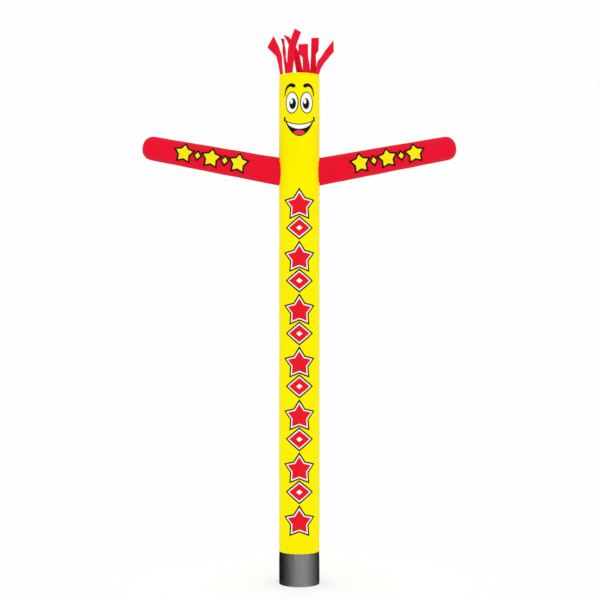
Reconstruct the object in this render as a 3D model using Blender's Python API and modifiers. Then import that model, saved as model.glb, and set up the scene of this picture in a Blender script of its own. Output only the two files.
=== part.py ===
"""An inflatable air dancer, full of air: a tall cloth tube on a heavy base sleeve, with two closed
arms and streamers for hair. Metres, +Z up, the origin at the middle of the base sleeve's foot, the
face looking along -Y and the arms along X.
"""

import math
from collections import namedtuple

import bmesh
import bpy
from mathutils import Matrix, Vector

# Driving dimensions, in metres and degrees
TUBE_DIAMETER = 0.457
TUBE_TOP = 5.837
CLOTH = 0.002
SEAM_GAP = 0.0003
AROUND = 72  # facets round the tube, so each is 5 degrees

SLEEVE_HEIGHT = 0.372
SLEEVE_CLOTH = 0.003
SLEEVE_LAP = 0.025  # the part of the sleeve that is sewn behind the tube's lower edge
SLEEVE_JOG = 0.012
SLEEVE_HEM = 0.040

ARM_HEIGHT = 4.733
ARM_TILT = 10.4
ARM_LENGTH = 1.60
ARM_ROOT_TALL = 0.315  # the arm is sewn round a tall oval hole, and is round from ARM_ROUND_FROM on
ARM_ROOT_DEEP = 0.190
ARM_ROUND_FROM = 0.60
ARM_TIP_DIAMETER = 0.272
ARM_DOME = 0.125
ARM_DOME_ROUNDNESS = 2.2
ARM_DOME_STEPS = 9
ARM_SLEEVE_STEPS = 14
ARM_AROUND = 40
ARM_OVERRUN = 0.12  # how far the arm and its cutter reach into the tube before they are trimmed

HAIR_CLOTH = 0.0015
HAIR_BAND_HEIGHT = 0.055
STREAMER_STEPS = 12
STREAMER_BEND = 0.10  # the share of a streamer's length, on each side of its knee, that is bent
STREAMER_FLARE_SPAN = 0.14  # the share of its length over which it flares
SHORT_WAY = 0.02  # the share of a streamer's length over which its direction is measured

TUBE_RADIUS = TUBE_DIAMETER / 2
HAIR_RADIUS = TUBE_RADIUS - CLOTH - SEAM_GAP
FACET = 360 / AROUND

# One row for each streamer. It stands on some facets of the band, counted from the front towards
# +X, and goes straight to its knee and on to its tip, both (x, y, height above the tube's top edge).
# The turns, in degrees in plan, say which way its outer face looks, as on the band: 0 is the front.
# The flare is how far its left edge steps out at the knee, seen from outside. The slant, in degrees,
# is how far from square its tip is cut.
Streamer = namedtuple(
    "Streamer", "first_facet facets knee tip knee_width tip_width flare knee_turn tip_turn slant"
)
STREAMERS = (
    Streamer(-15, 4, (-0.235, -0.070, 0.234), (-0.332, -0.045, 0.386), 0.098, 0.130, 0, -50, -5, 29),
    Streamer(-8, 4, (-0.088, -0.185, 0.290), (-0.016, -0.165, 0.493), 0.088, 0.086, 0, -12, -5, -12),
    Streamer(2, 5, (0.068, -0.200, 0.202), (0.070, -0.175, 0.335), 0.064, 0.059, 0.050, 12, 2, 5),
    Streamer(11, 4, (0.233, -0.070, 0.126), (0.393, -0.050, 0.337), 0.095, 0.086, 0, 45, 15, -50),
    Streamer(24, 5, (0.164, 0.165, 0.302), (0.166, 0.155, 0.467), 0.056, 0.056, 0.034, 166, 176, -3),
    Streamer(33, 4, (-0.038, 0.190, 0.296), (-0.148, 0.175, 0.495), 0.074, 0.070, 0, 171, 122, 40),
    Streamer(41, 4, (-0.163, 0.180, 0.177), (-0.193, 0.165, 0.461), 0.056, 0.064, 0, 234, 238, 4),
)

YELLOW = (1.0, 0.86, 0.0, 1.0)
RED = (0.84, 0.012, 0.032, 1.0)
BLACK = (0.03, 0.03, 0.032, 1.0)


def clear_scene():
    for old in list(bpy.data.objects):
        bpy.data.objects.remove(old)


def new_collection(name):
    collection = bpy.data.collections.new(name)
    bpy.context.scene.collection.children.link(collection)
    return collection


def cloth_material(name, colour, roughness):
    material = bpy.data.materials.new(name)
    material.use_nodes = True
    shader = material.node_tree.nodes["Principled BSDF"]
    shader.inputs["Base Color"].default_value = colour
    shader.inputs["Roughness"].default_value = roughness
    shader.inputs["Metallic"].default_value = 0.0
    material.diffuse_color = colour
    return material


def add_object(name, mesh, collection, material):
    obj = bpy.data.objects.new(name, mesh)
    collection.objects.link(obj)
    mesh.materials.append(material)
    return obj


def turned(name, profile, facets, collection, material):
    """A solid ring turned about its own Z axis from a closed (radius, height) profile, which runs
    down its outer side and back up its inner side."""
    mesh = bpy.data.meshes.new(name)
    count = len(profile)
    edges = [(i, (i + 1) % count) for i in range(count)]
    mesh.from_pydata([(radius, 0, height) for radius, height in profile], edges, [])
    obj = add_object(name, mesh, collection, material)
    screw = obj.modifiers.new("turn", "SCREW")
    screw.steps = facets
    screw.render_steps = facets
    screw.use_merge_vertices = True
    screw.merge_threshold = 1e-5
    screw.use_smooth_shade = True
    return obj


def cutter(name, half_x, half_y, low, high, facets, collection):
    """A closed round or oval rod from low to high on its own Z axis, which cuts others."""
    bpy.ops.mesh.primitive_cylinder_add(vertices=facets, radius=1, depth=high - low)
    obj = bpy.context.object
    obj.name = name
    obj.data.transform(Matrix.Diagonal((half_x, half_y, 1, 1)))
    obj.data.transform(Matrix.Translation((0, 0, (low + high) / 2)))
    for owner in list(obj.users_collection):
        owner.objects.unlink(obj)
    collection.objects.link(obj)
    obj.display_type = "WIRE"
    obj.hide_render = True
    return obj


def cut(obj, tool):
    boolean = obj.modifiers.new("cut by " + tool.name, "BOOLEAN")
    boolean.operation = "DIFFERENCE"
    boolean.solver = "EXACT"
    boolean.object = tool


def thicken(obj, thickness):
    """Gives an open surface its thickness, inwards from the side that its faces look out on."""
    solidify = obj.modifiers.new("cloth", "SOLIDIFY")
    solidify.thickness = thickness
    solidify.offset = -1


def place_on_shoulder(obj, side):
    """Stands an object's Z axis along the arm on that side, +1 or -1, with its origin at the shoulder."""
    obj.location = (side * TUBE_RADIUS, 0, ARM_HEIGHT)
    obj.rotation_euler = (0, side * math.radians(90 - ARM_TILT), 0)


def tube_profile():
    inner = TUBE_RADIUS - CLOTH
    return [
        (TUBE_RADIUS, TUBE_TOP),
        (TUBE_RADIUS, SLEEVE_HEIGHT),
        (inner, SLEEVE_HEIGHT),
        (inner, TUBE_TOP),
    ]


def sleeve_profile():
    """The sleeve is flush with the tube, and steps in at its top to lie behind the tube's edge. Its
    lower edge is turned in and up as a hem of double thickness."""
    lap_outer = TUBE_RADIUS - CLOTH - SEAM_GAP
    lap_inner = lap_outer - SLEEVE_CLOTH
    inner = TUBE_RADIUS - SLEEVE_CLOTH
    hem_inner = TUBE_RADIUS - 2 * SLEEVE_CLOTH
    shoulder = SLEEVE_HEIGHT - SEAM_GAP
    top = SLEEVE_HEIGHT + SLEEVE_LAP
    return [
        (lap_outer, top),
        (lap_outer, shoulder),
        (TUBE_RADIUS, shoulder),
        (TUBE_RADIUS, 0),
        (hem_inner, 0),
        (hem_inner, SLEEVE_HEM),
        (inner, SLEEVE_HEM + SLEEVE_CLOTH),
        (inner, shoulder - SLEEVE_JOG),
        (lap_inner, shoulder),
        (lap_inner, top),
    ]


def eased(share):
    """Rises from 0 to 1 as the share does, and is level at both ends."""
    held = min(1.0, max(0.0, share))
    return held * held * (3 - 2 * held)


def arm_section(distance):
    """(half height, half depth) of the arm's outer side, at a distance from the shoulder."""
    dome_base = ARM_LENGTH - ARM_DOME
    along = max(0.0, distance)
    root_half = ARM_ROOT_TALL / 2
    half = root_half + (ARM_TIP_DIAMETER / 2 - root_half) * min(1.0, along / dome_base)
    if distance > dome_base:
        rise = min(1.0, (distance - dome_base) / ARM_DOME)
        half *= max(0.0, 1 - rise**ARM_DOME_ROUNDNESS) ** (1 / ARM_DOME_ROUNDNESS)
    roundness = eased(along / ARM_ROUND_FROM)
    flatness = ARM_ROOT_DEEP / ARM_ROOT_TALL
    return half, half * (flatness + (1 - flatness) * roundness)


def arm_distances():
    """Where the arm's rings lie along it: evenly on the sleeve, and closer on the rounded end."""
    dome_base = ARM_LENGTH - ARM_DOME
    sleeve = [dome_base * step / ARM_SLEEVE_STEPS for step in range(ARM_SLEEVE_STEPS)]
    rounded = [
        dome_base + ARM_DOME * math.sin(math.pi / 2 * step / ARM_DOME_STEPS)
        for step in range(ARM_DOME_STEPS)
    ]
    return [-ARM_OVERRUN] + sleeve + rounded


def arm_mesh():
    """The arm's outer side as an open surface along +Z, its tall way along X, closed at its tip."""
    surface = bmesh.new()
    below = None
    for distance in arm_distances():
        half_height, half_depth = arm_section(distance)
        ring = []
        for step in range(ARM_AROUND):
            turn = math.tau * step / ARM_AROUND
            point = (half_height * math.cos(turn), half_depth * math.sin(turn), distance)
            ring.append(surface.verts.new(point))
        if below:
            for k in range(ARM_AROUND):
                after = (k + 1) % ARM_AROUND
                surface.faces.new((below[k], below[after], ring[after], ring[k]))
        below = ring
    pole = surface.verts.new((0, 0, ARM_LENGTH))
    for k in range(ARM_AROUND):
        surface.faces.new((below[k], below[(k + 1) % ARM_AROUND], pole))
    mesh = bpy.data.meshes.new("arm")
    surface.to_mesh(mesh)
    surface.free()
    mesh.shade_smooth()
    return mesh


def add_tube(parts, cutters, material):
    tube = turned("body_tube", tube_profile(), AROUND, parts, material)
    half_tall = ARM_ROOT_TALL / 2 - 2 * CLOTH
    half_deep = ARM_ROOT_DEEP / 2 - 2 * CLOTH
    for side, name in ((1, "hole_right"), (-1, "hole_left")):
        hole = cutter(name, half_tall, half_deep, -ARM_OVERRUN, ARM_OVERRUN, ARM_AROUND, cutters)
        place_on_shoulder(hole, side)
        cut(tube, hole)


def add_arms(parts, cutters, material):
    room = TUBE_RADIUS + SEAM_GAP
    body = cutter("tube_room", room, room, 0, TUBE_TOP, AROUND, cutters)
    for side, name in ((1, "arm_right"), (-1, "arm_left")):
        arm = add_object(name, arm_mesh(), parts, material)
        place_on_shoulder(arm, side)
        thicken(arm, CLOTH)
        cut(arm, body)


def in_plan(angle):
    """The unit vectors out from the axis and round it, at an angle in degrees from the front."""
    turn = math.radians(angle)
    out = Vector((math.sin(turn), -math.cos(turn), 0))
    round_it = Vector((math.cos(turn), math.sin(turn), 0))
    return out, round_it


def bent(start, knee, end, t):
    """A value on the straight way from start to the knee, at t of a half, and on to end, with the
    knee rounded off."""
    first = (knee - start) * 2
    second = (end - knee) * 2
    into_bend = min(max(t - 0.5 + STREAMER_BEND, 0), 2 * STREAMER_BEND)
    past_bend = max(t - 0.5 - STREAMER_BEND, 0)
    turned_share = into_bend**2 / (4 * STREAMER_BEND) + past_bend
    return start + first * t + (second - first) * turned_share


def streamer_rows(streamer):
    """The rows of points across a streamer, above the row that it shares with the hair band. They
    tilt towards the slant of its cut end as they near it."""
    middle_angle = (streamer.first_facet + streamer.facets / 2) * FACET
    rim = Vector((0, 0, TUBE_TOP))
    root = in_plan(middle_angle)[0] * HAIR_RADIUS + rim
    knee = Vector(streamer.knee) + rim
    tip = Vector(streamer.tip) + rim
    root_width = 2 * HAIR_RADIUS * math.sin(math.radians(streamer.facets * FACET / 2))

    def centre(t):
        return bent(root, knee, tip, t)

    rows = []
    for step in range(1, STREAMER_STEPS + 1):
        t = step / STREAMER_STEPS
        along = (centre(t) - centre(t - SHORT_WAY)).normalized()
        turn = bent(middle_angle, streamer.knee_turn, streamer.tip_turn, t)
        across = in_plan(turn)[1]
        across = (across - along * across.dot(along)).normalized()
        width = bent(root_width, streamer.knee_width, streamer.tip_width, t)
        flare = streamer.flare * eased((t - 0.5) / STREAMER_FLARE_SPAN + 0.5)
        cut_off = math.tan(math.radians(streamer.slant)) * t**3
        row = []
        for column in range(streamer.facets + 1):
            share = column / streamer.facets - 0.5
            reach = width * share - flare * (0.5 - share)
            row.append(centre(t) + (across + along * cut_off) * reach)
        rows.append(row)
    return rows


def add_hair(parts, material):
    """A band inside the tube's top edge, with the streamers cut from it, as one sheet of cloth."""
    surface = bmesh.new()
    top = []
    low = []
    for facet in range(AROUND):
        rim = in_plan(facet * FACET)[0] * HAIR_RADIUS
        top.append(surface.verts.new((rim.x, rim.y, TUBE_TOP)))
        low.append(surface.verts.new((rim.x, rim.y, TUBE_TOP - HAIR_BAND_HEIGHT)))
    for facet in range(AROUND):
        after = (facet + 1) % AROUND
        surface.faces.new((low[facet], low[after], top[after], top[facet]))
    for streamer in STREAMERS:
        below = [top[(streamer.first_facet + k) % AROUND] for k in range(streamer.facets + 1)]
        for row in streamer_rows(streamer):
            above = [surface.verts.new(point) for point in row]
            for k in range(streamer.facets):
                surface.faces.new((below[k], below[k + 1], above[k + 1], above[k]))
            below = above
    mesh = bpy.data.meshes.new("hair")
    surface.to_mesh(mesh)
    surface.free()
    mesh.shade_smooth()
    hair = add_object("hair", mesh, parts, material)
    thicken(hair, HAIR_CLOTH)


def main():
    clear_scene()
    parts = new_collection("air_dancer")
    cutters = new_collection("cutters")
    yellow = cloth_material("yellow ripstop", YELLOW, 0.55)
    red = cloth_material("red ripstop", RED, 0.55)
    black = cloth_material("black base cloth", BLACK, 0.45)
    turned("base_sleeve", sleeve_profile(), AROUND, parts, black)
    add_tube(parts, cutters, yellow)
    add_arms(parts, cutters, red)
    add_hair(parts, red)


main()
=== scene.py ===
"""The looks of an inflatable air dancer: its gathered cloth, seams, stitching, print and streamers,
round the frame's solids, in a plain pale studio. Metres, +Z up, the face looking along -Y.
"""

import math
from collections import namedtuple

import bmesh
import bpy
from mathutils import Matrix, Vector, noise


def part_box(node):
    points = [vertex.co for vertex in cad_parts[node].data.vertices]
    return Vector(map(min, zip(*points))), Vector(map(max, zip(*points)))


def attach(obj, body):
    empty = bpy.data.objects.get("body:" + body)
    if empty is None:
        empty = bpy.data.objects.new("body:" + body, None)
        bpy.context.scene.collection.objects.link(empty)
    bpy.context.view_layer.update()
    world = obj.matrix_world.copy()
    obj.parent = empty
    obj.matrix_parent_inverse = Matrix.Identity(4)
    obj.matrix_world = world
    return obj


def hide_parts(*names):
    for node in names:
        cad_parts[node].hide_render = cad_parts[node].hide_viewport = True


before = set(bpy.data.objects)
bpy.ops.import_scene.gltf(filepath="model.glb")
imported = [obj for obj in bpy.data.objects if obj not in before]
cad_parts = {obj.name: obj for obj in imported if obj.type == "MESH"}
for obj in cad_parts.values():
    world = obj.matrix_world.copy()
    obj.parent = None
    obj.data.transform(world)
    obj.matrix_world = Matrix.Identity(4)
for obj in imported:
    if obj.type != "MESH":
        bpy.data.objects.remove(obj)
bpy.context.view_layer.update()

BODY = "root"

# Sizes from the frame
tube_low, tube_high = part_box("body_tube")
TUBE_RADIUS = tube_high.x
TUBE_TOP = tube_high.z
SEAM_HEIGHT = tube_low.z
LAP_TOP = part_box("base_sleeve")[1].z
GIRTH = math.tau * TUBE_RADIUS

# The arms. The frame gives only boxes, so these sizes and the hair's repeat the part's own
ARM_HEIGHT = 4.733
ARM_TILT = math.radians(10.4)
ARM_LENGTH = 1.60
ARM_ROOT_TALL = 0.315
ARM_ROOT_DEEP = 0.190
ARM_ROUND_FROM = 0.60
ARM_TIP_DIAMETER = 0.272
ARM_DOME = 0.125
ARM_DOME_ROUNDNESS = 2.2
DOME_BASE = ARM_LENGTH - ARM_DOME
ARM_LAP = 0.006  # how far an arm's root laps over the edge of its hole in the tube
ARM_FITTED = 0.25  # how much of an arm's length is drawn in or out to meet the tube

# Cloth, and how finely its meshes are divided
CLOTH = 0.0012
LAP_STEP = 0.0026  # how far the sleeve's lap lies behind the tube's cloth
TUBE_AROUND = 160
ROW_FINE = 0.011
ROW_WIDE = 0.034
ROW_GROWTH = 0.18  # how fast the rows widen with the distance from a seam
SLEEVE_ROWS = 34
LAP_ROWS = (-0.004, -0.0004, 0.0004, 0.012)  # from the seam up. The lap steps in above the first
ARM_AROUND = 96
ARM_ROOT_ROWS = 16
ARM_ROOT_ROW = 0.010
ARM_ROWS = 70
ARM_DOME_ROWS = 26
ARM_MIDDLE_RADIUS = 0.14
HALVINGS = 22
TINY = 0.002  # the step over which a surface's slope is measured
SLIVER = 0.00005  # corners of a cut mesh that are nearer than this are joined
CUT_NEAR = 1e-5  # corners that are nearer than this to a cut are on it
WELD = 1e-6

# Relief. Bumps are (how high, how wide, how tall). A reach is how far something runs from its edge,
# and a pair of them is (from the sleeve's seam, from the top)
SWELL = 0.004  # how far the air swells the cloth between its sewn edges
HEM_REACH = (0.05, 0.06)  # where the hems hold the cloth in
GATHER_REACH = (0.075, 0.05)
TOP_GATHERS = 0.7  # as a share of the seam's
TUBE_WAVES = (0.0026, 0.21, 0.62)
TUBE_GATHERS = (0.0052, 0.021, 0.16)
FOOT_FOLDS = (0.0022, 0.045, 0.3)
FOOT_FOLD_REACH = 0.09
FOOT_CALM = 0.2  # how far up from the ground the waves are held back
FOOT_HELD = (0.6, 0.04)  # (how much of the swell the foot's hem holds in, its reach)
SHOULDER_GATHERS = 0.007
SHOULDER_REACH = 0.085
SHOULDER_FINENESS = 4.2
ARM_WAVES = (0.0026, 0.19, 0.19)
ROOT_GATHERS = 0.0062
ROOT_REACH = 0.11
ROOT_FINENESS = 4.6
PUCKERS = 0.0022
TIP_PUCKERS = 0.0045
TIP_REACH = 0.10
PUCKER_REACH = 0.034
PUCKER_PITCH = 0.019
TIP_CALM = 0.03

# Seams and stitches
HEM_TURN = 0.040
TOP_HEM = 0.026
TUBE_HEM = 0.016
BACK_SEAM = 0.014
ARM_SEAM = 0.010
OUTLINE_SEAM = 0.007
ARM_ROOT_RADIUS = 0.12  # about, for the slope of the seam round it
TAPE_THICKNESS = 0.0009
TAPE_PROFILE = ((-0.5, -0.5), (-0.47, 0.6), (-0.38, 1.0), (0.38, 1.0), (0.47, 0.6), (0.5, -0.5))
RING_STEP = 0.009
OUTLINE_STEP = 0.012
BACK_STEP = 0.03
SLEEVE_BACK_STEP = 0.02
GROUND_GAP = 0.0005
SEAM_GAP = 0.001
STITCH_PITCH = 0.0046
STITCH_LENGTH = 0.0032
STITCH_WIDTH = 0.0009
STITCH_LIFT = 1.1 * TAPE_THICKNESS
STITCH_DIP = 0.0002  # how far its ends dip
HEM_STITCH_IN = 0.004
BACK_STITCH_IN = 0.003
FOOT_STITCHES_IN = (0.004, 0.010)
ROOT_STITCH_OUT = 0.002

# Hair. A streamer's knee and tip are measured from the middle of the tube's top
HAIR_AROUND = 144
HAIR_RADIUS = TUBE_RADIUS - 0.0023  # just inside the tube's cloth
HAIR_BAND_HEIGHT = 0.055
STREAMER_STEPS = 44
STREAMER_BEND = 0.10
STREAMER_FLARE_SPAN = 0.14
SWAY = (0.0035, 15, 1.9)  # (how far, its turn along a streamer, its shift from one to the next)
EDGE_WAVE = (0.0045, 24, 2.3)
SHORT_WAY = 0.02  # the share of a streamer over which its way along is measured
FACET = 5.0
COLUMNS_A_FACET = 2

Streamer = namedtuple(
    "Streamer", "first_facet facets knee tip knee_width tip_width flare knee_turn tip_turn slant"
)
STREAMERS = (
    Streamer(-15, 4, (-0.235, -0.070, 0.234), (-0.332, -0.045, 0.386), 0.098, 0.130, 0, -50, -5, 29),
    Streamer(-8, 4, (-0.088, -0.185, 0.290), (-0.016, -0.165, 0.493), 0.088, 0.086, 0, -12, -5, -12),
    Streamer(2, 5, (0.068, -0.200, 0.202), (0.070, -0.175, 0.335), 0.064, 0.059, 0.050, 12, 2, 5),
    Streamer(11, 4, (0.233, -0.070, 0.126), (0.393, -0.050, 0.337), 0.095, 0.086, 0, 45, 15, -50),
    Streamer(24, 5, (0.164, 0.165, 0.302), (0.166, 0.155, 0.467), 0.056, 0.056, 0.034, 166, 176, -3),
    Streamer(33, 4, (-0.038, 0.190, 0.296), (-0.148, 0.175, 0.495), 0.074, 0.070, 0, 171, 122, 40),
    Streamer(41, 4, (-0.163, 0.180, 0.177), (-0.193, 0.165, 0.461), 0.056, 0.064, 0, 234, 238, 4),
)

# The print. A place on the tube is (arc round from the front's middle, height), and one on an arm is
# (distance out from the shoulder, arc up from the front's middle)
INK = 0.0003
FIRST_LIFT = 0.0006
LIFT_STEP = 0.0004
PRINT_CELL = 0.016
MEETING = 1e-4  # two sides of an outline that are nearer than this have one corner between them
STAR_CORE = 0.142
STAR_WHITE = 0.014
STAR_BLACK = 0.016
STAR_INNER = 0.57
STAR_COUNT = 7
LOWEST_STAR = 0.735
STAR_PITCH = 0.600
LOZENGE_HALF = (0.118, 0.098)
LOZENGE_RISE = 0.57
LOZENGE_HEART = 0.30
ARM_STAR_CORE = 0.098
ARM_BLACK = 0.020
ARM_STARS = (0.475, 0.790, 1.105)
ARM_LOZENGES = (0.632, 0.948)
ARM_LOZENGE_HALF = (0.030, 0.036)

EYE_HEIGHT = 5.497
EYE_OUT = 0.086
EYE_HALF = (0.067, 0.114)
EYE_RIM = 0.011
PUPIL_HALF = (0.039, 0.062)
PUPIL_IN = 0.010
PUPIL_DROP = 0.012
GLINT_HALF = (0.017, 0.027)
GLINT_UP = 0.026
GLINT_LEFT = PUPIL_HALF[0] / 3
BROW_OUT = 0.098
BROW_HALF = (0.078, 0.118)
BROW_HEIGHT = 5.580
BROW_THICK = 0.050
BROW_TURNS = (128, -4)
BROW_START = 0.55
BROW_GROWTH = 4
BROW_TAPER = 0.78
BROW_POINTS = 28
MOUTH_HEIGHT = 5.312
MOUTH_HALF = 0.182
LIP_SAG = 0.056
MOUTH_DEPTH = 0.196
LIP_LINE = 0.011
TEETH = 0.046
TEETH_HALF = 0.146
TONGUE_HALF = (0.066, 0.036)
TONGUE_HEIGHT = 5.150
TONGUE_SHOWN = 0.98
DIMPLE_HALF = (0.013, 0.030)
DIMPLE_LEAN = 14
DIMPLE_UP = 0.005

# Colours, linear
YELLOW = (0.97, 0.87, 0.0)
RED = (0.81, 0.008, 0.031)
STREAMER_RED = (0.75, 0.010, 0.038)
BLACK_CLOTH = (0.004, 0.004, 0.004)
INK_RED = (0.80, 0.010, 0.022)
INK_WHITE = (0.95, 0.95, 0.94)
INK_BLACK = (0.003, 0.003, 0.003)
INK_YELLOW = (0.93, 0.80, 0.01)
TONGUE_RED = (0.78, 0.045, 0.060)
THREADS = {"yellow": (0.80, 0.62, 0.01), "red": (0.55, 0.008, 0.02), "black": (0.03, 0.03, 0.03)}
YELLOW_GLOSS = (1, 0.85, 0.02)
RED_GLOSS = (1, 0.10, 0.12)
TONGUE_GLOSS = (1, 0.2, 0.2)
DUST = (0.085, 0.078, 0.068)
FLOOR_WHITE = (0.45, 0.45, 0.45)

# Weave and creases, on the flat cloth. A line's width is (where it is whole, where it ends)
RIPSTOP_PITCH = 0.0065
THICK_THREAD = (0.0002, 0.0007)
THICK_THREAD_HEIGHT = 0.00010
THREAD_HEIGHT = 0.00004
THREAD_STRETCH = (260, 3100)  # the noise's scale along a thread and across it
CREASES = ((0.47, (0.0005, 0.007)), (GIRTH / 4, (0.0005, 0.006)))  # (pitch, width) along and across
CREASE_WANDER = 0.03
CREASE_DEPTH = 0.0011
# painted shade: how much darker the base colour is made along the creases
PAINTED_CREASE_SHADE = 0.03
DUST_HEIGHT = 0.075

# Light. A pair is (from all round, more from the front)
EVEN_LIGHT = (1.0, 0.05)
GLOSSY_LIGHT = (0.0, 3.6)
FRONT_TURN = math.radians(16)  # how far to the viewer's right the light in front lies
FRONT_FALLOFF = 2.8
BACKDROP = 0.99
FLOOR_GLOW = 0.55
KEY_POWER = 60
KEY_PLACE = (2, -13, 8.5)
KEY_SIZE = (4.0, 6.0)

# Camera
CAMERA_BACK = 15.5
CAMERA_HEIGHT = 3.257
CAMERA_LENS = 80.8
CAMERA_SHIFT = 0.0011
FLOOR_RADIUS = 3.2
FLOOR_DROP = 0.0005
FLOOR_FADE = (0.25, 0.95)  # as shares of its radius


# ---- surfaces ----


def fade(distance, reach):
    return math.exp(-abs(distance) / reach)


def eased(share):
    """Rises from 0 to 1 as the share does, and is level at both ends."""
    held = min(1.0, max(0.0, share))
    return held * held * (3 - 2 * held)


def ripple(spot, height, across, tall):
    """Smooth bumps of up to a height either way, about so far across in plan and so tall."""
    return height * noise.noise(Vector((spot.x / across, spot.y / across, spot.z / tall)))


def ring_noise(turn, fineness, level):
    """Smooth noise from -1 to 1 round a ring. Each level has its own."""
    return noise.noise(Vector((fineness * math.cos(turn), fineness * math.sin(turn), level)))


def shoulder_relief(spot):
    """Gathers that run out over the tube from the seam round each arm."""
    up = (spot.z - ARM_HEIGHT) / (ARM_ROOT_TALL / 2)
    over = spot.y / (ARM_ROOT_DEEP / 2)
    from_seam = max(0.0, math.hypot(up, over) - 1) * ARM_ROOT_TALL / 2
    rays = ring_noise(math.atan2(over, up), SHOULDER_FINENESS, math.copysign(7.3, spot.x))
    return SHOULDER_GATHERS * fade(from_seam, SHOULDER_REACH) * rays


def tube_relief(angle, height):
    """How far the filled cloth stands out from a plain tube: soft waves all over, and gathers that
    run up and down from its sewn edges."""
    spot = Vector((math.sin(angle), -math.cos(angle), 0)) * TUBE_RADIUS
    spot.z = height
    from_edges = (height - SEAM_HEIGHT, TUBE_TOP - height)
    free_of_seam, free_of_top = (1 - fade(gap, reach) for gap, reach in zip(from_edges, HEM_REACH))
    held, held_reach = FOOT_HELD
    swell = SWELL * free_of_seam * free_of_top * (1 - held * fade(height, held_reach))
    waves = ripple(spot, *TUBE_WAVES) * (1 - fade(height, FOOT_CALM))
    at_seam, at_top = (fade(gap, reach) for gap, reach in zip(from_edges, GATHER_REACH))
    gathers = (at_seam + TOP_GATHERS * at_top) * ripple(spot, *TUBE_GATHERS)
    foot = fade(height, FOOT_FOLD_REACH) * ripple(spot, *FOOT_FOLDS)
    return swell + waves + gathers + foot + shoulder_relief(spot)


def tube(arc, height):
    """A point on the cloth of the tube and, below the seam, of the sleeve."""
    angle = arc / TUBE_RADIUS
    radius = TUBE_RADIUS + tube_relief(angle, height)
    return Vector((radius * math.sin(angle), -radius * math.cos(angle), height))


def arm_section(distance):
    """(half height, half depth) of the arm at a distance from the shoulder."""
    along = max(0.0, distance)
    root_half = ARM_ROOT_TALL / 2
    half = root_half + (ARM_TIP_DIAMETER / 2 - root_half) * min(1.0, along / DOME_BASE)
    if distance > DOME_BASE:
        rise = min(1.0, (distance - DOME_BASE) / ARM_DOME)
        half *= max(0.0, 1 - rise**ARM_DOME_ROUNDNESS) ** (1 / ARM_DOME_ROUNDNESS)
    roundness = eased(along / ARM_ROUND_FROM)
    flatness = ARM_ROOT_DEEP / ARM_ROOT_TALL
    return half, half * (flatness + (1 - flatness) * roundness)


def arm_relief(side, turn, distance):
    """Gathers at the arm's root, puckers along its two seams and most at its tip, and soft waves.
    Each side and seam has its own noise."""
    depth = math.cos(turn) * ARM_MIDDLE_RADIUS
    rise = math.sin(turn) * ARM_MIDDLE_RADIUS
    waves = ripple(Vector((distance, depth, rise + 3 * side)), *ARM_WAVES)
    folds = ring_noise(turn, ROOT_FINENESS, 3 * distance + 5 * side)
    gathers = ROOT_GATHERS * fade(distance, ROOT_REACH) * folds
    along_seam = Vector((distance / PUCKER_PITCH, math.copysign(2, rise), 9 * side))
    from_tip = ARM_LENGTH - distance
    high = PUCKERS + TIP_PUCKERS * fade(from_tip, TIP_REACH)
    puckers = high * fade(depth, PUCKER_REACH) * noise.noise(along_seam)
    return (waves + puckers) * min(1.0, from_tip / TIP_CALM) + gathers


def arm_axes(side):
    """The middle of an arm's root, and the unit vectors along the arm and up across it."""
    shoulder = Vector((side * TUBE_RADIUS, 0, ARM_HEIGHT))
    along = Vector((side * math.cos(ARM_TILT), 0, math.sin(ARM_TILT)))
    up = Vector((-side * math.sin(ARM_TILT), 0, math.cos(ARM_TILT)))
    return shoulder, along, up


def arm_point(side, turn, distance):
    """A point on an arm's cloth. The turn is 0 at its front and a quarter at its top."""
    half_height, half_depth = arm_section(distance)
    shoulder, along, up = arm_axes(side)
    grown = 1 + arm_relief(side, turn, distance) / (ARM_TIP_DIAMETER / 2)
    point = shoulder + along * distance + up * (half_height * grown * math.sin(turn))
    point.y -= half_depth * grown * math.cos(turn)
    return point


def arm_start(side, turn):
    """How far out an arm's cloth meets the tube's, by halving a span that holds the place."""
    inside, outside = -ARM_ROOT_DEEP, ARM_ROOT_DEEP
    for _ in range(HALVINGS):
        middle = (inside + outside) / 2
        point = arm_point(side, turn, middle)
        angle = math.atan2(point.x, -point.y)
        wall = TUBE_RADIUS + tube_relief(angle, point.z)
        if math.hypot(point.x, point.y) < wall:
            inside = middle
        else:
            outside = middle
    return outside


def fitted(distance, start):
    """A distance along an arm, drawn in or out near its root so that 0 is where the cloth starts."""
    return distance + start * max(0.0, 1 - distance / ARM_FITTED)


def raised(surface, across, up, lift):
    """The point above a surface's (across, up)."""
    here = surface(across, up)
    one_way = surface(across + TINY, up) - here
    other_way = surface(across, up + TINY) - here
    return here + one_way.cross(other_way).normalized() * lift


# ---- meshes ----


def linked(name, data):
    """A new object in the scene."""
    thing = bpy.data.objects.new(name, data)
    bpy.context.scene.collection.objects.link(thing)
    return thing


def add_piece(name, mesh, material, slot):
    piece = linked(name, mesh)
    mesh.materials.append(material)
    mesh.shade_smooth()
    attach(piece, BODY)
    return piece


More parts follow.
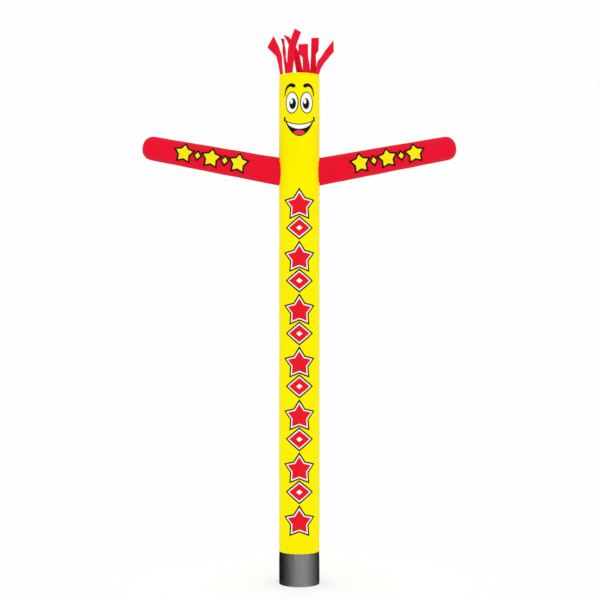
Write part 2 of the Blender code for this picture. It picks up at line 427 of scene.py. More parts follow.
def grid_mesh(name, points, places, wrap=False, pole=None):
    """A mesh of rows of points. Its UV map "cloth" holds each corner's place on the flat cloth, in
    metres. With wrap the last column joins the first, and places has one more column. A pole is a
    point that closes the last row."""
    columns = len(points[0])
    vertices = [point for row in points for point in row]
    faces = []
    corners = []
    for r in range(len(points) - 1):
        for c in range(columns if wrap else columns - 1):
            after = (c + 1) % columns
            faces.append(
                (r * columns + c, r * columns + after, (r + 1) * columns + after, (r + 1) * columns + c)
            )
            corners += [places[r][c], places[r][c + 1], places[r + 1][c + 1], places[r + 1][c]]
    if pole is not None:
        vertices.append(pole)
        last = (len(points) - 1) * columns
        for c in range(columns):
            faces.append((last + c, last + (c + 1) % columns, len(vertices) - 1))
            corners += [places[-1][c], places[-1][c + 1], places[-1][c]]
    mesh = bpy.data.meshes.new(name)
    mesh.from_pydata(vertices, [], faces)
    layer = mesh.uv_layers.new(name="cloth")
    layer.data.foreach_set("uv", [value for corner in corners for value in corner])
    return mesh


def thicken(piece, thickness):
    solidify = piece.modifiers.new("cloth", "SOLIDIFY")
    solidify.thickness = thickness
    solidify.offset = -1


def ring_grid(name, rings):
    """A mesh of the tube's surface. A ring is (height, how far it is drawn in)."""
    arcs = [GIRTH * (c / TUBE_AROUND - 0.5) for c in range(TUBE_AROUND + 1)]
    points = []
    for height, inset in rings:
        row = [tube(arc, height) for arc in arcs[:-1]]
        for point in row:
            point -= Vector((point.x, point.y, 0)).normalized() * inset
        points.append(row)
    places = [[(arc, height) for arc in arcs] for height, _ in rings]
    return grid_mesh(name, points, places, wrap=True)


def past_hole(point, side):
    """Under 0 in the oval hole that an arm is sewn round, and over 0 outside it."""
    shoulder, _, up = arm_axes(side)
    from_middle = point - shoulder
    rise = from_middle.dot(up) / (ARM_ROOT_TALL / 2 - ARM_LAP)
    over = from_middle.y / (ARM_ROOT_DEEP / 2 - ARM_LAP)
    return math.hypot(rise, over) - 1 if point.x * side > 0 else 1.0


def cut_arm_holes(mesh):
    """Splits the faces on each hole's edge along it, and deletes those inside."""
    surface = bmesh.new()
    surface.from_mesh(mesh)
    for side in (1, -1):
        on_edge = []
        for edge in surface.edges[:]:
            start, end = edge.verts
            at_start, at_end = past_hole(start.co, side), past_hole(end.co, side)
            if (at_start < 0) != (at_end < 0):
                share = at_start / (at_start - at_end)
                on_edge.append(bmesh.utils.edge_split(edge, start, share)[1])
        bmesh.ops.connect_verts(surface, verts=on_edge)
        inside = [face for face in surface.faces if past_hole(face.calc_center_median(), side) < 0]
        bmesh.ops.delete(surface, geom=inside, context="FACES")
    bmesh.ops.remove_doubles(surface, verts=surface.verts, dist=SLIVER)
    surface.to_mesh(mesh)
    surface.free()


# ---- tube and sleeve ----


def tube_heights():
    """Rows close together by the seams and the shoulders, where the cloth gathers."""
    heights = [SEAM_HEIGHT]
    while heights[-1] < TUBE_TOP - ROW_FINE:
        here = heights[-1]
        by_arm = max(0.0, abs(here - ARM_HEIGHT) - ARM_ROOT_TALL)
        near = min(here - SEAM_HEIGHT, TUBE_TOP - here, by_arm)
        heights.append(here + min(ROW_WIDE, max(ROW_FINE, ROW_GROWTH * near)))
    heights[-1] = TUBE_TOP
    return heights


def add_tube(materials):
    mesh = ring_grid("tube_cloth", [(height, 0.0) for height in tube_heights()])
    cut_arm_holes(mesh)
    piece = add_piece("tube_cloth", mesh, materials["yellow"], "yellow_ripstop")
    thicken(piece, CLOTH)
    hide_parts("body_tube")
    return piece


def add_sleeve(materials):
    below = [SEAM_HEIGHT * step / SLEEVE_ROWS for step in range(SLEEVE_ROWS)]
    below.append(SEAM_HEIGHT + LAP_ROWS[0])
    lap = [SEAM_HEIGHT + step for step in LAP_ROWS[1:]] + [LAP_TOP]
    rings = [(height, 0.0) for height in below] + [(height, LAP_STEP) for height in lap]
    mesh = ring_grid("sleeve_cloth", rings)
    piece = add_piece("sleeve_cloth", mesh, materials["black"], "black_base_cloth")
    thicken(piece, 2 * CLOTH)
    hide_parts("base_sleeve")
    return piece


# ---- arms ----


def arm_distances():
    """The rows out along an arm: even at its root, a little wider on, and closing on its tip."""
    root_end = ARM_ROOT_ROW * ARM_ROOT_ROWS
    root = [ARM_ROOT_ROW * step for step in range(ARM_ROOT_ROWS)]
    sleeve = [root_end + (DOME_BASE - root_end) * step / ARM_ROWS for step in range(ARM_ROWS)]
    turns = [math.pi / 2 * step / ARM_DOME_ROWS for step in range(ARM_DOME_ROWS)]
    return root + sleeve + [DOME_BASE + ARM_DOME * math.sin(turn) for turn in turns]


def arm_turns():
    """Round an arm, from its back to its front and on to its back again."""
    return [math.tau * (c / ARM_AROUND - 0.5) for c in range(ARM_AROUND + 1)]


def add_arm(side, name, materials):
    turns = arm_turns()
    starts = [arm_start(side, turn) for turn in turns]
    order = -1 if side > 0 else 1  # so that the faces look outwards on both sides
    points = []
    places = []
    for distance in arm_distances():
        row = [arm_point(side, turn, fitted(distance, start)) for turn, start in zip(turns, starts)]
        points.append(row[:-1][::order])
        places.append([(turn * ARM_MIDDLE_RADIUS, distance) for turn in turns][::order])
    mesh = grid_mesh(name, points, places, wrap=True, pole=arm_point(side, 0, ARM_LENGTH))
    piece = add_piece(name, mesh, materials["red"], "red_ripstop")
    thicken(piece, CLOTH)
    return piece


# ---- hair ----


def in_plan(angle):
    """The unit vectors out from the axis and round it, at an angle in degrees from the front."""
    turn = math.radians(angle)
    out = Vector((math.sin(turn), -math.cos(turn), 0))
    round_it = Vector((math.cos(turn), math.sin(turn), 0))
    return out, round_it


def bent(start, knee, end, t):
    """A value on the straight way from start to the knee, at t of a half, and on to end, with the
    knee rounded off."""
    first = (knee - start) * 2
    second = (end - knee) * 2
    into_bend = min(max(t - 0.5 + STREAMER_BEND, 0), 2 * STREAMER_BEND)
    past_bend = max(t - 0.5 - STREAMER_BEND, 0)
    turned_share = into_bend**2 / (4 * STREAMER_BEND) + past_bend
    return start + first * t + (second - first) * turned_share


def wave(size, number, t, shift=0.0):
    """A flutter that grows towards a streamer's tip."""
    how_far, turn, step = size
    return how_far * t * math.sin(turn * t + shift + step * number)


def streamer_row(streamer, number, t):
    """The points across a streamer at a share of its length."""
    middle_angle = (streamer.first_facet + streamer.facets / 2) * FACET
    half_angle = math.radians(streamer.facets * FACET / 2)
    out = in_plan(middle_angle)[0]
    rim = Vector((0, 0, TUBE_TOP))
    route = (out * HAIR_RADIUS + rim, Vector(streamer.knee) + rim, Vector(streamer.tip) + rim)
    centre = bent(*route, t)
    along = (centre - bent(*route, t - SHORT_WAY)).normalized()
    across = in_plan(bent(middle_angle, streamer.knee_turn, streamer.tip_turn, t))[1]
    across = (across - along * across.dot(along)).normalized()
    root_width = 2 * HAIR_RADIUS * math.sin(half_angle)
    width = bent(root_width, streamer.knee_width, streamer.tip_width, t)
    flare = streamer.flare * eased((t - 0.5) / STREAMER_FLARE_SPAN + 0.5)
    cut_off = math.tan(math.radians(streamer.slant)) * t**3
    sway = wave(SWAY, number, t)
    root_crown = HAIR_RADIUS * (1 - math.cos(half_angle))
    columns = streamer.facets * COLUMNS_A_FACET
    row = []
    for column in range(columns + 1):
        share = column / columns - 0.5
        edge_wave = wave(EDGE_WAVE, number, t, 3 * share) * (2 * share) ** 2
        crown = root_crown * (2 * share) ** 2 * (1 - t) ** 2
        point = centre + (across + along * cut_off) * (width * share - flare * (0.5 - share))
        row.append(point + across.cross(along) * (sway + edge_wave) - out * crown)
    return row


def add_strip(surface, lower, upper, place, size):
    """Faces between two rows of corners. On the flat cloth the first is at a place, with a size."""
    layer = surface.loops.layers.uv["cloth"]
    (left, low), (wide, tall) = place, size
    for k in range(len(lower) - 1):
        face = surface.faces.new((lower[k], lower[k + 1], upper[k + 1], upper[k]))
        for loop, (right, up) in zip(face.loops, ((0, 0), (1, 0), (1, 1), (0, 1))):
            loop[layer].uv = (left + (k + right) * wide, low + up * tall)


def add_band(surface, arc):
    """The band inside the tube's top edge. Gives the corners round that edge."""
    rise = HAIR_BAND_HEIGHT / 2
    rings = []
    for drop in (HAIR_BAND_HEIGHT, rise, 0):
        ring = []
        for k in range(HAIR_AROUND):
            turn = math.tau / HAIR_AROUND * k
            radius = HAIR_RADIUS + tube_relief(turn, TUBE_TOP - drop)
            out = in_plan(math.degrees(turn))[0] * radius
            ring.append(surface.verts.new((out.x, out.y, TUBE_TOP - drop)))
        rings.append(ring + ring[:1])
    for number in (0, 1):
        add_strip(surface, rings[number], rings[number + 1], (0, (number - 2) * rise), (arc, rise))
    return rings[-1][:-1]


def add_hair(materials):
    """The band inside the tube's top edge, with the streamers cut from it, as one sheet."""
    surface = bmesh.new()
    surface.loops.layers.uv.new("cloth")
    arc = math.tau / HAIR_AROUND * HAIR_RADIUS
    edge = add_band(surface, arc)
    for number, streamer in enumerate(STREAMERS):
        first = streamer.first_facet * COLUMNS_A_FACET
        columns = streamer.facets * COLUMNS_A_FACET
        lower = [edge[(first + k) % HAIR_AROUND] for k in range(columns + 1)]
        knee = Vector(streamer.knee)
        rise = ((knee - Vector(streamer.tip)).length + knee.z) / STREAMER_STEPS
        for step in range(STREAMER_STEPS):
            row = streamer_row(streamer, number, (step + 1) / STREAMER_STEPS)
            upper = [surface.verts.new(point) for point in row]
            add_strip(surface, lower, upper, (first * arc, step * rise), (arc, rise))
            lower = upper
    mesh = bpy.data.meshes.new("hair_cloth")
    surface.to_mesh(mesh)
    surface.free()
    piece = add_piece("hair_cloth", mesh, materials["streamer"], "red_ripstop")
    thicken(piece, CLOTH)
    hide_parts("hair")
    return piece


# ---- seams ----

# A seam's place(along, across, lift) gives a point by it, and its length is in metres.
Seam = namedtuple("Seam", "place length closed")


def level_seam(height):
    """Round the tube at a height."""

    def place(along, across, lift):
        return raised(tube, along - GIRTH / 2, height + across, lift)

    return Seam(place, GIRTH, True)


def back_seam(low, high):
    """Up the middle of the tube's back."""

    def place(along, across, lift):
        return raised(tube, GIRTH / 2 - across, low + along, lift)

    return Seam(place, high - low, False)


def shoulder_seam(side):
    """Round an arm's root, on the arm. Across runs out along the arm."""
    turns = arm_turns()
    starts = [arm_start(side, turn) for turn in turns]
    length = math.pi * (ARM_ROOT_TALL + ARM_ROOT_DEEP) / 2

    def place(along, across, lift):
        whole, part = divmod(along / length * ARM_AROUND, 1)
        before = int(whole) % ARM_AROUND
        turn = turns[before] + part * math.tau / ARM_AROUND
        start = starts[before] * (1 - part) + starts[before + 1] * part

        def surface(round_it, out):
            return arm_point(side, turn + side * round_it / ARM_ROOT_RADIUS, start + out)

        return raised(surface, 0, across + ARM_SEAM / 2, -lift)

    return Seam(place, length, True)


def outline_seam(side):
    """Along an arm's underside, round its tip and back along its top, from under its root's seam."""
    distances = [0.6 * ARM_SEAM] + arm_distances()[1:]

    def line(turn):
        start = arm_start(side, turn)
        return [arm_point(side, turn, fitted(distance, start)) for distance in distances]

    over = line(math.pi / 2)
    route = line(-math.pi / 2) + [arm_point(side, 0, ARM_LENGTH)] + over[::-1]
    reached = [0.0]
    for one, other in zip(route, route[1:]):
        reached.append(reached[-1] + (other - one).length)

    def place(along, across, lift):
        number = 0
        while number < len(route) - 2 and reached[number + 1] < along:
            number += 1
        span = route[number + 1] - route[number]
        share = (along - reached[number]) / span.length
        out = span.cross(Vector((0, -side, 0))).normalized()
        return route[number] + span * share + Vector((0, across, 0)) + out * lift

    return Seam(place, reached[-1], False)


def close_up(mesh):
    """Joins a mesh's doubled corners, fills its ends and turns its faces outwards."""
    surface = bmesh.new()
    surface.from_mesh(mesh)
    bmesh.ops.remove_doubles(surface, verts=surface.verts, dist=WELD)
    bmesh.ops.holes_fill(surface, edges=[edge for edge in surface.edges if edge.is_boundary])
    bmesh.ops.recalc_face_normals(surface, faces=surface.faces)
    surface.to_mesh(mesh)
    surface.free()


def add_tape(name, seam, width, step, look):
    """A turned, sewn edge: a low band along a seam, with its sides tucked into the cloth. The look of a
    piece is (material, slot), and the slot is not used."""
    count = round(seam.length / step)
    rows = []
    places = []
    for number in range(count + 1):
        along = min(seam.length * number / count, seam.length - WELD)
        rows.append([seam.place(along, width * a, TAPE_THICKNESS * b) for a, b in TAPE_PROFILE])
        places.append([(width * a, along) for a, _ in TAPE_PROFILE + TAPE_PROFILE[:1]])
    if seam.closed:
        rows[-1] = rows[0]
    mesh = grid_mesh(name, rows, places, wrap=True)
    close_up(mesh)
    add_piece(name, mesh, *look)


def stitch(seam, along, across):
    """The corners of a stitch, which dips into the cloth at its ends: the two ends, then the four
    round its middle."""
    half_wide = STITCH_WIDTH / 2
    dipped = STITCH_LIFT - STITCH_DIP
    ends = [seam.place(along + way * STITCH_LENGTH / 2, across, dipped) for way in (-1, 1)]
    sides = [seam.place(along, across + way * half_wide, STITCH_LIFT) for way in (-1, 1)]
    middle = seam.place(along, across, STITCH_LIFT)
    top = seam.place(along, across, STITCH_LIFT + half_wide)
    return ends + [sides[0], top, sides[1], 2 * middle - top]


def add_stitches(name, rows, look):
    """Rows of stitches as one mesh. A row is (seam, how far across it runs)."""
    vertices = []
    faces = []
    for seam, across in rows:
        count = round(seam.length / STITCH_PITCH)
        for number in range(count):
            base = len(vertices)
            vertices += stitch(seam, (number + 0.5) * seam.length / count, across)
            for k in range(4):
                one, other = base + 2 + k, base + 2 + (k + 1) % 4
                faces += [(base, one, other), (base + 1, other, one)]
    mesh = bpy.data.meshes.new(name)
    mesh.from_pydata(vertices, [], faces)
    close_up(mesh)
    add_piece(name, mesh, *look)


def by_edges(seam, width, inset):
    """The rows of stitches by both edges of a tape."""
    return [(seam, way * (width / 2 - inset)) for way in (-1, 1)]


def add_tube_seams(materials):
    """The hems and the back seam of the tube, with their stitching."""
    top = level_seam(TUBE_TOP - TOP_HEM / 2)
    low = level_seam(SEAM_HEIGHT + TUBE_HEM / 2)
    back = back_seam(SEAM_HEIGHT + TUBE_HEM, TUBE_TOP - TOP_HEM)
    look = (materials["yellow"], "yellow_ripstop")
    add_tape("top_hem", top, TOP_HEM, RING_STEP, look)
    add_tape("tube_hem", low, TUBE_HEM, RING_STEP, look)
    add_tape("back_seam", back, BACK_SEAM, BACK_STEP, look)
    rows = [(top, HEM_STITCH_IN - TOP_HEM / 2)] + by_edges(low, TUBE_HEM, HEM_STITCH_IN)
    rows += by_edges(back, BACK_SEAM, BACK_STITCH_IN)
    add_stitches("tube_stitches", rows, (materials["yellow thread"], "yellow_ripstop"))


def add_sleeve_seams(materials):
    """The foot's hem and the back seam of the sleeve, with their stitching."""
    hem = level_seam(HEM_TURN / 2 + GROUND_GAP)
    back = back_seam(HEM_TURN, SEAM_HEIGHT - SEAM_GAP)
    look = (materials["black"], "black_base_cloth")
    add_tape("foot_hem", hem, HEM_TURN, RING_STEP, look)
    add_tape("sleeve_back_seam", back, BACK_SEAM, SLEEVE_BACK_STEP, look)
    rows = [(hem, HEM_TURN / 2 - inset) for inset in FOOT_STITCHES_IN]
    rows += by_edges(back, BACK_SEAM, BACK_STITCH_IN)
    add_stitches("sleeve_stitches", rows, (materials["black thread"], "black_base_cloth"))


def add_arm_seams(side, name, materials):
    """The seam round an arm's root and the one along its outline, with their stitching."""
    root = shoulder_seam(side)
    outline = outline_seam(side)
    look = (materials["red"], "red_ripstop")
    add_tape(name + "_root_seam", root, ARM_SEAM, RING_STEP, look)
    add_tape(name + "_outline_seam", outline, OUTLINE_SEAM, OUTLINE_STEP, look)
    rows = [(root, ROOT_STITCH_OUT), (outline, 0)]
    add_stitches(name + "_stitches", rows, (materials["red thread"], "red_ripstop"))


# ---- print ----


def ellipse(centre, half, points=48):
    turns = [math.tau * k / points for k in range(points)]
    return [(centre[0] + half[0] * math.cos(t), centre[1] + half[1] * math.sin(t)) for t in turns]


def star(centre, radius):
    """A five-pointed star, one point up, anticlockwise."""
    outline = []
    for k in range(10):
        turn = math.pi / 2 + math.pi * k / 5
        reach = radius if k % 2 == 0 else radius * STAR_INNER
        outline.append((centre[0] + reach * math.cos(turn), centre[1] + reach * math.sin(turn)))
    return outline


def lozenge(centre, half):
    """A diamond, anticlockwise."""
    (x, y), (wide, tall) = centre, half
    return [(x + wide, y), (x, y + tall), (x - wide, y), (x, y - tall)]


def grown(outline, by):
    """An anticlockwise outline with each side moved out."""
    result = []
    for k, here in enumerate(outline):
        here = Vector(here)
        into = (here - Vector(outline[k - 1])).normalized()
        out_of = (Vector(outline[(k + 1) % len(outline)]) - here).normalized()
        one = Vector((into.y, -into.x))
        other = Vector((out_of.y, -out_of.x))
        corner = (one + other) / (1 + one.dot(other))
        result.append(tuple(here + corner * by))
    return result


def between(top, bottom, low, high, points=40):
    """The anticlockwise outline between two heights, top(x) and bottom(x), from low to high x."""
    across = [low + (high - low) * k / points for k in range(points + 1)]
    lower = [(x, bottom(x)) for x in across]
    upper = [(x, top(x)) for x in across[::-1] if top(x) - bottom(x) > MEETING]
    return lower + upper


def cells(outline):
    """The triangles inside an outline, cut into cells small enough to follow the cloth."""
    flat = bmesh.new()
    flat.faces.new([flat.verts.new((x, y, 0)) for x, y in outline]).normal_update()
    bmesh.ops.triangulate(flat, faces=flat.faces[:], ngon_method="EAR_CLIP")
    ways = (Vector((1, 0, 0)), Vector((0, 1, 0)))
    for values, way in zip(zip(*outline), ways):
        first = math.ceil(min(values) / PRINT_CELL)
        last = math.floor(max(values) / PRINT_CELL)
        for number in range(first, last + 1):
            everything = flat.verts[:] + flat.edges[:] + flat.faces[:]
            line = way * number * PRINT_CELL
            bmesh.ops.bisect_plane(flat, geom=everything, dist=CUT_NEAR, plane_co=line, plane_no=way)
    bmesh.ops.remove_doubles(flat, verts=flat.verts, dist=SLIVER)
    flat.verts.index_update()
    spots = [(vertex.co.x, vertex.co.y) for vertex in flat.verts]
    faces = [[vertex.index for vertex in face.verts] for face in flat.faces]
    flat.free()
    return spots, faces


def add_print(name, outlines, surface, layer, material, slot):
    """Outlines printed on a surface, in a film of ink that lies over the layers before it."""
    lift = FIRST_LIFT + LIFT_STEP * layer
    spots = []
    faces = []
    for outline in outlines:
        more_spots, more_faces = cells(outline)
        faces += [[len(spots) + index for index in face] for face in more_faces]
        spots += more_spots
    mesh = bpy.data.meshes.new(name)
    mesh.from_pydata([raised(surface, x, y, lift) for x, y in spots], [], faces)
    uvs = mesh.uv_layers.new(name="cloth")
    for face in mesh.polygons:
        for loop in face.loop_indices:
            uvs.data[loop].uv = spots[mesh.loops[loop].vertex_index]
    thicken(add_piece(name, mesh, material, slot), INK)


def add_star_print(materials):
    """A column of stars down the tube's front, with a lozenge between each two."""
    heights = [LOWEST_STAR + STAR_PITCH * k for k in range(STAR_COUNT)]
    middles = [(0, height + LOZENGE_RISE * STAR_PITCH) for height in heights[:-1]]
    shapes = [star((0, height), STAR_CORE) for height in heights]
    shapes += [lozenge(middle, LOZENGE_HALF) for middle in middles]
    heart = [half * LOZENGE_HEART for half in LOZENGE_HALF]
    inks = (
        ("stars_black", [grown(shape, STAR_WHITE + STAR_BLACK) for shape in shapes], "black ink"),
        ("stars_white", [grown(shape, STAR_WHITE) for shape in shapes], "white ink"),
        ("stars_red", shapes, "red ink"),
        ("hearts", [lozenge(middle, heart) for middle in middles], "white ink"),
    )
    for layer, (name, outlines, ink) in enumerate(inks):
        add_print(name, outlines, tube, layer, materials[ink], "yellow_ripstop")


def add_arm_print(side, name, materials):
    """A row of stars along an arm's front, with a lozenge between each two."""

    def front(right, up):
        return arm_point(side, up / (ARM_TIP_DIAMETER / 2), side * right)

    shapes = [star((side * distance, 0), ARM_STAR_CORE) for distance in ARM_STARS]
    shapes += [lozenge((side * distance, 0), ARM_LOZENGE_HALF) for distance in ARM_LOZENGES]
    outer = [grown(outline, ARM_BLACK) for outline in shapes]
    add_print(name + "_stars_black", outer, front, 0, materials["black ink"], "red_ripstop")
    add_print(name + "_stars_yellow", shapes, front, 1, materials["yellow ink"], "red_ripstop")


def brow(side):
    """An arch over an eye, thickest by the nose and tapered to its outer end."""
    upper = []
    lower = []
    for k in range(BROW_POINTS + 1):
        share = k / BROW_POINTS
        turn = math.radians(BROW_TURNS[0] + (BROW_TURNS[1] - BROW_TURNS[0]) * share)
        thick = BROW_THICK * min(1.0, BROW_START + BROW_GROWTH * share) * (1 - BROW_TAPER * share)
        x = side * (BROW_OUT + BROW_HALF[0] * math.cos(turn))
        y = BROW_HEIGHT + BROW_HALF[1] * math.sin(turn)
        out = Vector((side * math.cos(turn) / BROW_HALF[0], math.sin(turn) / BROW_HALF[1]))
        out = out.normalized() * thick / 2
        upper.append((x + out.x, y + out.y))
        lower.append((x - out.x, y - out.y))
    outline = lower + upper[::-1]
    return outline if side > 0 else outline[::-1]


def upper_lip(x):
    return MOUTH_HEIGHT - LIP_SAG * (1 - (x / MOUTH_HALF) ** 2)


def lower_lip(x):
    return MOUTH_HEIGHT - MOUTH_DEPTH * (1 - (x / MOUTH_HALF) ** 2)


def teeth_edge(x):
    """The teeth's lower edge, which curves up to meet the lip at their ends."""
    return upper_lip(x) - LIP_LINE - TEETH * math.sqrt(max(0.0, 1 - (x / TEETH_HALF) ** 2))


def tongue_top(x):
    rise = TONGUE_HALF[1] * math.sqrt(max(0.0, 1 - (x / TONGUE_HALF[0]) ** 2))
    return TONGUE_HEIGHT + rise


def dimple(side):
    """A short stroke across a corner of the mouth."""
    lean = math.radians(side * DIMPLE_LEAN)
    outline = []
    for x, y in ellipse((0, 0), DIMPLE_HALF, points=20):
        turned = (x * math.cos(lean) - y * math.sin(lean), x * math.sin(lean) + y * math.cos(lean))
        outline.append((side * MOUTH_HALF + turned[0], MOUTH_HEIGHT + DIMPLE_UP + turned[1]))
    return outline


def add_face_print(materials):
    """A plain smiling face: two oval eyes, two arched brows and an open, laughing mouth."""

    def ink(name, outlines, layer, colour):
        add_print("face_" + name, outlines, tube, layer, materials[colour], "yellow_ripstop")

    eyes = [(side * EYE_OUT, EYE_HEIGHT) for side in (-1, 1)]
    pupils = [(side * (EYE_OUT - PUPIL_IN), EYE_HEIGHT - PUPIL_DROP) for side in (-1, 1)]
    glints = [(x - GLINT_LEFT, y + GLINT_UP) for x, y in pupils]
    mouth = between(upper_lip, lower_lip, -MOUTH_HALF, MOUTH_HALF)
    teeth = between(lambda x: upper_lip(x) - LIP_LINE, teeth_edge, -TEETH_HALF, TEETH_HALF)
    shown = TONGUE_SHOWN * TONGUE_HALF[0]
    tongue = between(tongue_top, lambda x: lower_lip(x) + LIP_LINE, -shown, shown)
    rims = [ellipse(eye, (EYE_HALF[0] + EYE_RIM, EYE_HALF[1] + EYE_RIM)) for eye in eyes]
    ink("rims", rims + [brow(-1), brow(1), mouth], 0, "black ink")
    ink("dimples", [dimple(-1), dimple(1)], 1, "black ink")
    ink("whites", [ellipse(eye, EYE_HALF) for eye in eyes] + [teeth], 1, "white ink")
    ink("tongue", [tongue], 1, "tongue ink")
    ink("pupils", [ellipse(pupil, PUPIL_HALF) for pupil in pupils], 2, "black ink")
    ink("glints", [ellipse(glint, GLINT_HALF, points=24) for glint in glints], 3, "white ink")


# ---- materials ----


class Nodes:
    """The nodes of a material or a world, each added and linked in one call."""

    def __init__(self, owner):
        owner.use_nodes = True
        self.owner = owner
        self.tree = owner.node_tree

    def add(self, kind, *inputs, **settings):
        """A node whose sockets are set or linked in order."""
        node = self.tree.nodes.new(kind)
        for key, value in settings.items():
            setattr(node, key, value)
        for socket, value in zip(node.inputs, inputs):
            self.put(socket, value)
        return node

    def put(self, socket, value):
        if isinstance(value, bpy.types.NodeSocket):
            self.tree.links.new(value, socket)
        else:
            socket.default_value = value

    def math(self, operation, *inputs):
        return self.add("ShaderNodeMath", *inputs, operation=operation).outputs[0]

    def band(self, value, narrow, wide):
        """1 where the value is under narrow, and down to 0 at wide."""
        inputs = (value, narrow, wide, 1.0, 0.0)
        return self.add("ShaderNodeMapRange", *inputs, interpolation_type="SMOOTHSTEP").outputs[0]

    def lines(self, value, pitch, width):
        """1 on lines at a pitch, and 0 between them."""
        return self.band(self.math("PINGPONG", value, pitch / 2), *width)

    def noise(self, place, scale, detail=2.0):
        return self.add("ShaderNodeTexNoise", place, 0.0, scale, detail).outputs["Fac"]

    def uneven(self, place, scale, detail, low, high):
        """Noise from low to high."""
        inputs = (self.noise(place, scale, detail), 0.3, 0.7, low, high)
        return self.add("ShaderNodeMapRange", *inputs).outputs[0]

    def scaled(self, colour, share):
        node = self.add("ShaderNodeVectorMath", colour, operation="SCALE")
        self.put(node.inputs["Scale"], share)
        return node.outputs[0]

    def finish(self, look):
        """Sets or links the shader's sockets by name, and gives the material."""
        for name, value in look.items():
            self.put(self.tree.nodes["Principled BSDF"].inputs[name], value)
        return self.owner


def new_material(name):
    return Nodes(bpy.data.materials.new(name))


def dusted(nodes, colour, amount):
    """A colour with dust over it in patches, most at the ground."""
    place = nodes.add("ShaderNodeTexCoord").outputs["Object"]
    height = nodes.add("ShaderNodeSeparateXYZ", place).outputs[2]
    patches = nodes.band(nodes.noise(place, 17.0, 5.0), 0.35, 0.65)
    share = nodes.math("MULTIPLY", nodes.band(height, 0.0, DUST_HEIGHT), patches)
    mix = nodes.add("ShaderNodeMix", data_type="RGBA")
    nodes.put(mix.inputs["Factor"], nodes.math("MULTIPLY", share, amount))
    nodes.put(mix.inputs["A"], colour)
    nodes.put(mix.inputs["B"], (*DUST, 1))
    return mix.outputs["Result"]


def woven(nodes, cloth):
    """A cloth's grid of thicker threads, and the fine threads between them."""
    ways = nodes.add("ShaderNodeSeparateXYZ", cloth).outputs[:2]
    thick = [nodes.lines(way, RIPSTOP_PITCH, THICK_THREAD) for way in ways]
    fine = []
    for stretch in (THREAD_STRETCH, THREAD_STRETCH[::-1]):
        inputs = (cloth, (*stretch, 1))
        place = nodes.add("ShaderNodeVectorMath", *inputs, operation="MULTIPLY").outputs[0]
        fine.append(nodes.noise(place, 1.0, 1.0))
    return nodes.math("MAXIMUM", *thick), nodes.math("ADD", *fine)


def creased(nodes, cloth):
    """The creases that packing leaves along and across a cloth. They wander and break off."""
    across, along = nodes.add("ShaderNodeSeparateXYZ", cloth).outputs[:2]
    wander = nodes.math("MULTIPLY", nodes.noise(cloth, 5.0), CREASE_WANDER)
    folds = [
        nodes.lines(nodes.math("ADD", way, wander), pitch, width)
        for way, (pitch, width) in zip((along, across), CREASES)
    ]
    broken = nodes.band(nodes.noise(cloth, 3.1), 0.42, 0.60)
    return nodes.math("MULTIPLY", nodes.math("MAXIMUM", *folds), broken)


def cloth_relief(nodes, grid, threads, creases, folds):
    """The shading normal of a cloth's threads and creases."""
    height = nodes.math("MULTIPLY", threads, THREAD_HEIGHT)
    height = nodes.math("MULTIPLY_ADD", grid, THICK_THREAD_HEIGHT, height)
    height = nodes.math("MULTIPLY_ADD", creases, -CREASE_DEPTH * folds, height)
    bump = nodes.add("ShaderNodeBump", 0.8, 1.0)
    nodes.put(bump.inputs["Height"], height)
    return bump.outputs[0]


def cloth_material(
    name, colour, roughness, gloss=(1, 1, 1), grid=0.07, folds=1.0, specular=0.2, sheen=0.02, dust=0.0
):
    """Woven cloth, laid out by the UV map "cloth", in metres: its threads, its creases with painted
    shade darkening the colour along them, and a little unevenness of colour. Dust from the ground is
    rubbed into its foot."""
    nodes = new_material(name)
    cloth = nodes.add("ShaderNodeUVMap", uv_map="cloth").outputs[0]
    thick, fine = woven(nodes, cloth)
    creases = creased(nodes, cloth)
    tone_and_crease_shade = nodes.uneven(cloth, 1.7, 4.0, 0.965, 1.0)
    # Random tone, darkened on the weave's thicker threads, and darkened along the creases as painted
    # shade. The bump below gives the creases their real relief
    for pattern, depth in ((thick, grid), (creases, PAINTED_CREASE_SHADE * folds)):
        tone_and_crease_shade = nodes.math("MULTIPLY", tone_and_crease_shade, nodes.math("MULTIPLY_ADD", pattern, -depth, 1.0))
    look = nodes.scaled(colour, tone_and_crease_shade)
    nodes.owner.diffuse_color = (*colour, 1)
    return nodes.finish({
        "Base Color": dusted(nodes, look, dust) if dust else look,
        "Roughness": nodes.uneven(cloth, 9.0, 2.0, roughness - 0.05, roughness + 0.06),
        "Normal": cloth_relief(nodes, thick, fine, creases, folds),
        "Specular IOR Level": specular,
        "Specular Tint": (*gloss, 1),
        "Sheen Weight": sheen,
        "Sheen Roughness": 0.5,
        "Sheen Tint": (*gloss, 1),
    })


def thin_cloth_material(name, colour, gloss):
    """Cloth that lets through some of the light from behind it."""
    look = {"Subsurface Weight": 0.8, "Subsurface Radius": (1, 0.3, 0.3), "Subsurface Scale": 0.004}
    return Nodes(cloth_material(name, colour, 0.55, gloss=gloss, specular=0.05)).finish(look)


def thread_material(name, colour):
    """Twisted thread."""
    nodes = new_material(name)
    place = nodes.add("ShaderNodeTexCoord").outputs["Object"]
    look = nodes.scaled(colour, nodes.uneven(place, 1800.0, 1.0, 0.75, 1.0))
    return nodes.finish({"Base Color": look, "Roughness": 0.6, "Specular IOR Level": 0.25})


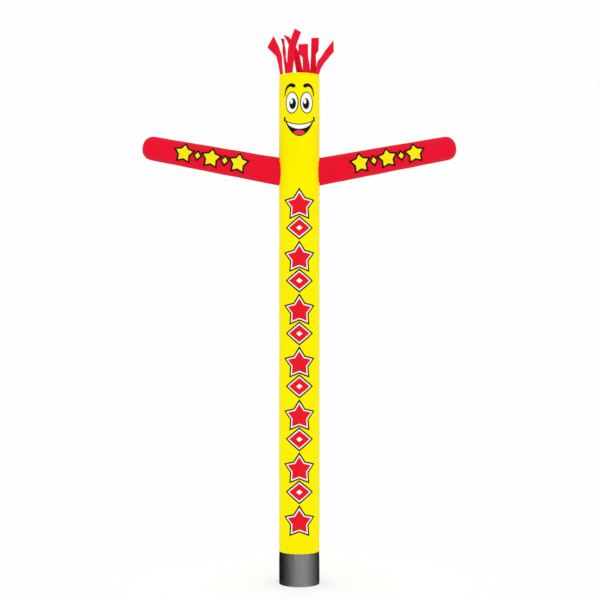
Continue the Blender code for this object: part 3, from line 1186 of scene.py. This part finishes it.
def make_materials():
    materials = {
        "yellow": cloth_material("yellow ripstop", YELLOW, 0.55, gloss=YELLOW_GLOSS, specular=0.05),
        "red": cloth_material("red ripstop", RED, 0.55, gloss=RED_GLOSS, specular=0.05),
        "black": cloth_material(
            "black base cloth", BLACK_CLOTH, 0.40, grid=0.0, folds=0.5, specular=1.0, sheen=0.0, dust=0.4
        ),
        "black ink": cloth_material("black ink", INK_BLACK, 0.6, grid=0.2, specular=0.05, sheen=0.0),
        "white ink": cloth_material("white ink", INK_WHITE, 0.6, specular=0.1),
        "streamer": thin_cloth_material("thin red ripstop", STREAMER_RED, gloss=RED_GLOSS),
        "red ink": cloth_material("red ink", INK_RED, 0.6, gloss=RED_GLOSS),
        "yellow ink": cloth_material("yellow ink", INK_YELLOW, 0.6, gloss=YELLOW_GLOSS),
        "tongue ink": cloth_material("tongue ink", TONGUE_RED, 0.6, gloss=TONGUE_GLOSS),
    }
    for name, colour in THREADS.items():
        materials[name + " thread"] = thread_material(name + " thread", colour)
    return materials


# ---- studio ----


def add_world():
    """White behind the object, an even light from all round, and one broad soft light in front, which
    shows as a highlight that fades towards the sides of what is glossy."""
    world = bpy.data.worlds.new("studio")
    bpy.context.scene.world = world
    nodes = Nodes(world)
    nodes.tree.nodes.clear()
    way = nodes.add("ShaderNodeTexCoord").outputs["Generated"]
    to_light = (math.sin(FRONT_TURN), -math.cos(FRONT_TURN), 0)
    towards = nodes.add("ShaderNodeVectorMath", way, to_light, operation="DOT_PRODUCT").outputs["Value"]
    frontness = nodes.add("ShaderNodeMapRange", towards, -1).outputs[0]
    falloff = nodes.math("POWER", frontness, FRONT_FALLOFF)

    def light(even, front=0.0):
        strength = nodes.math("MULTIPLY_ADD", falloff, front, even)
        return nodes.add("ShaderNodeBackground", (1, 1, 1, 1), strength).outputs[0]

    def mixed(share, first, second):
        return nodes.add("ShaderNodeMixShader", share, first, second).outputs[0]

    path = nodes.add("ShaderNodeLightPath").outputs
    lit = mixed(path["Is Glossy Ray"], light(*EVEN_LIGHT), light(*GLOSSY_LIGHT))
    nodes.add("ShaderNodeOutputWorld", mixed(path["Is Camera Ray"], lit, light(BACKDROP)))


def add_floor():
    """A round pale floor that fades into the white round it."""
    bpy.ops.mesh.primitive_circle_add(
        vertices=96, radius=FLOOR_RADIUS, fill_type="NGON", location=(0, 0, -FLOOR_DROP)
    )
    floor = bpy.context.object
    floor.name = "floor"
    floor.visible_glossy = False
    nodes = new_material("floor")
    place = nodes.add("ShaderNodeTexCoord").outputs["Object"]
    far = nodes.add("ShaderNodeVectorMath", place, operation="LENGTH").outputs["Value"]
    material = nodes.finish({
        "Base Color": nodes.scaled(FLOOR_WHITE, nodes.uneven(place, 40.0, 2.0, 0.985, 1.0)),
        "Alpha": nodes.band(far, *(share * FLOOR_RADIUS for share in FLOOR_FADE)),
        "Roughness": 0.9,
        "Specular IOR Level": 0.0,
        "Emission Color": (1, 1, 1, 1),
        "Emission Strength": FLOOR_GLOW,
    })
    floor.data.materials.append(material)


def add_key_light():
    data = bpy.data.lights.new("key", "AREA")
    data.shape = "RECTANGLE"
    data.size, data.size_y = KEY_SIZE
    data.energy = KEY_POWER
    light = linked("key", data)
    light.location = KEY_PLACE
    aim = Vector((0, 0, CAMERA_HEIGHT)) - Vector(KEY_PLACE)
    light.rotation_euler = aim.to_track_quat("-Z", "Y").to_euler()


def add_camera():
    data = bpy.data.cameras.new("camera")
    camera = linked("camera", data)
    data.sensor_width = 36
    data.lens = CAMERA_LENS
    data.shift_x = CAMERA_SHIFT
    camera.location = (0, -CAMERA_BACK, CAMERA_HEIGHT)
    camera.rotation_euler = (math.pi / 2, 0, 0)
    bpy.context.scene.camera = camera


def add_studio():
    add_world()
    add_floor()
    add_key_light()
    add_camera()
    bpy.context.scene.view_settings.view_transform = "Standard"


# ---- the whole ----


def main():
    materials = make_materials()
    tube_piece = add_tube(materials)
    sleeve = add_sleeve(materials)
    for side, name in ((1, "arm_right"), (-1, "arm_left")):
        arm = add_arm(side, name + "_cloth", materials)
        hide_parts(name)
        add_arm_seams(side, name, materials)
        add_arm_print(side, name, materials)
    hair = add_hair(materials)
    add_tube_seams(materials)
    add_sleeve_seams(materials)
    add_star_print(materials)
    add_face_print(materials)
    add_studio()


main()
